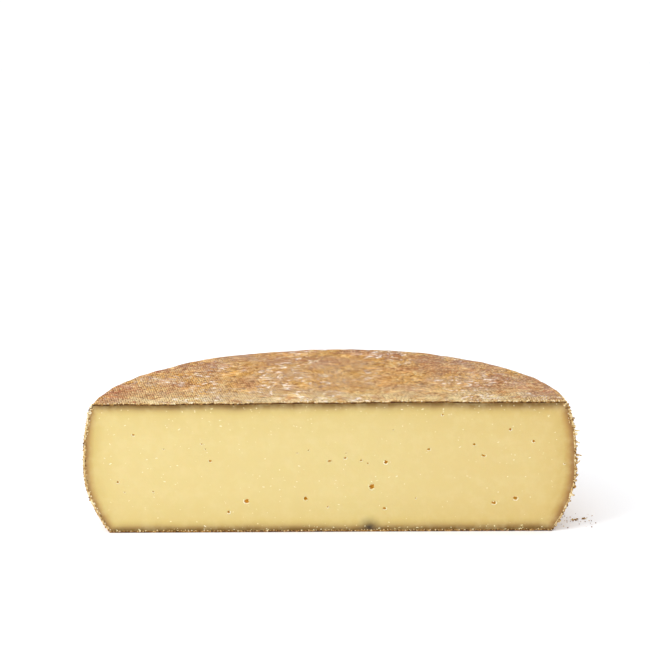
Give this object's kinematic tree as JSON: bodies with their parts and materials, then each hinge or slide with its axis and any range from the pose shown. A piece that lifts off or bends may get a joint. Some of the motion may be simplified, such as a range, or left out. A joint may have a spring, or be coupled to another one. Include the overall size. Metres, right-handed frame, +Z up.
{
  "type": "half wheel of alpine gouda cheese",
  "caption": "Half of a low round cheese wheel with bulging sides, lying on its flat base, with one flat cut face of firm yellow paste and a brown cloth-marked rind.",
  "frame": {"origin": "middle of the object's bounding box, on the surface that it rests on", "axes": "+X along the cut face's long edge, +Y away from the cut face towards the round back, +Z up through the wheel's thickness"},
  "size_m": [0.3216, 0.1602, 0.0886],
  "materials": {
    "rind": "dry washed rind, brown with pale dusty patches and a cloth weave",
    "paste": "smooth satin cut paste, pale yellow, browner towards the rind"
  },
  "bodies": {
    "root": {"half_wheel": "rind"}
  },
  "joints": []
}
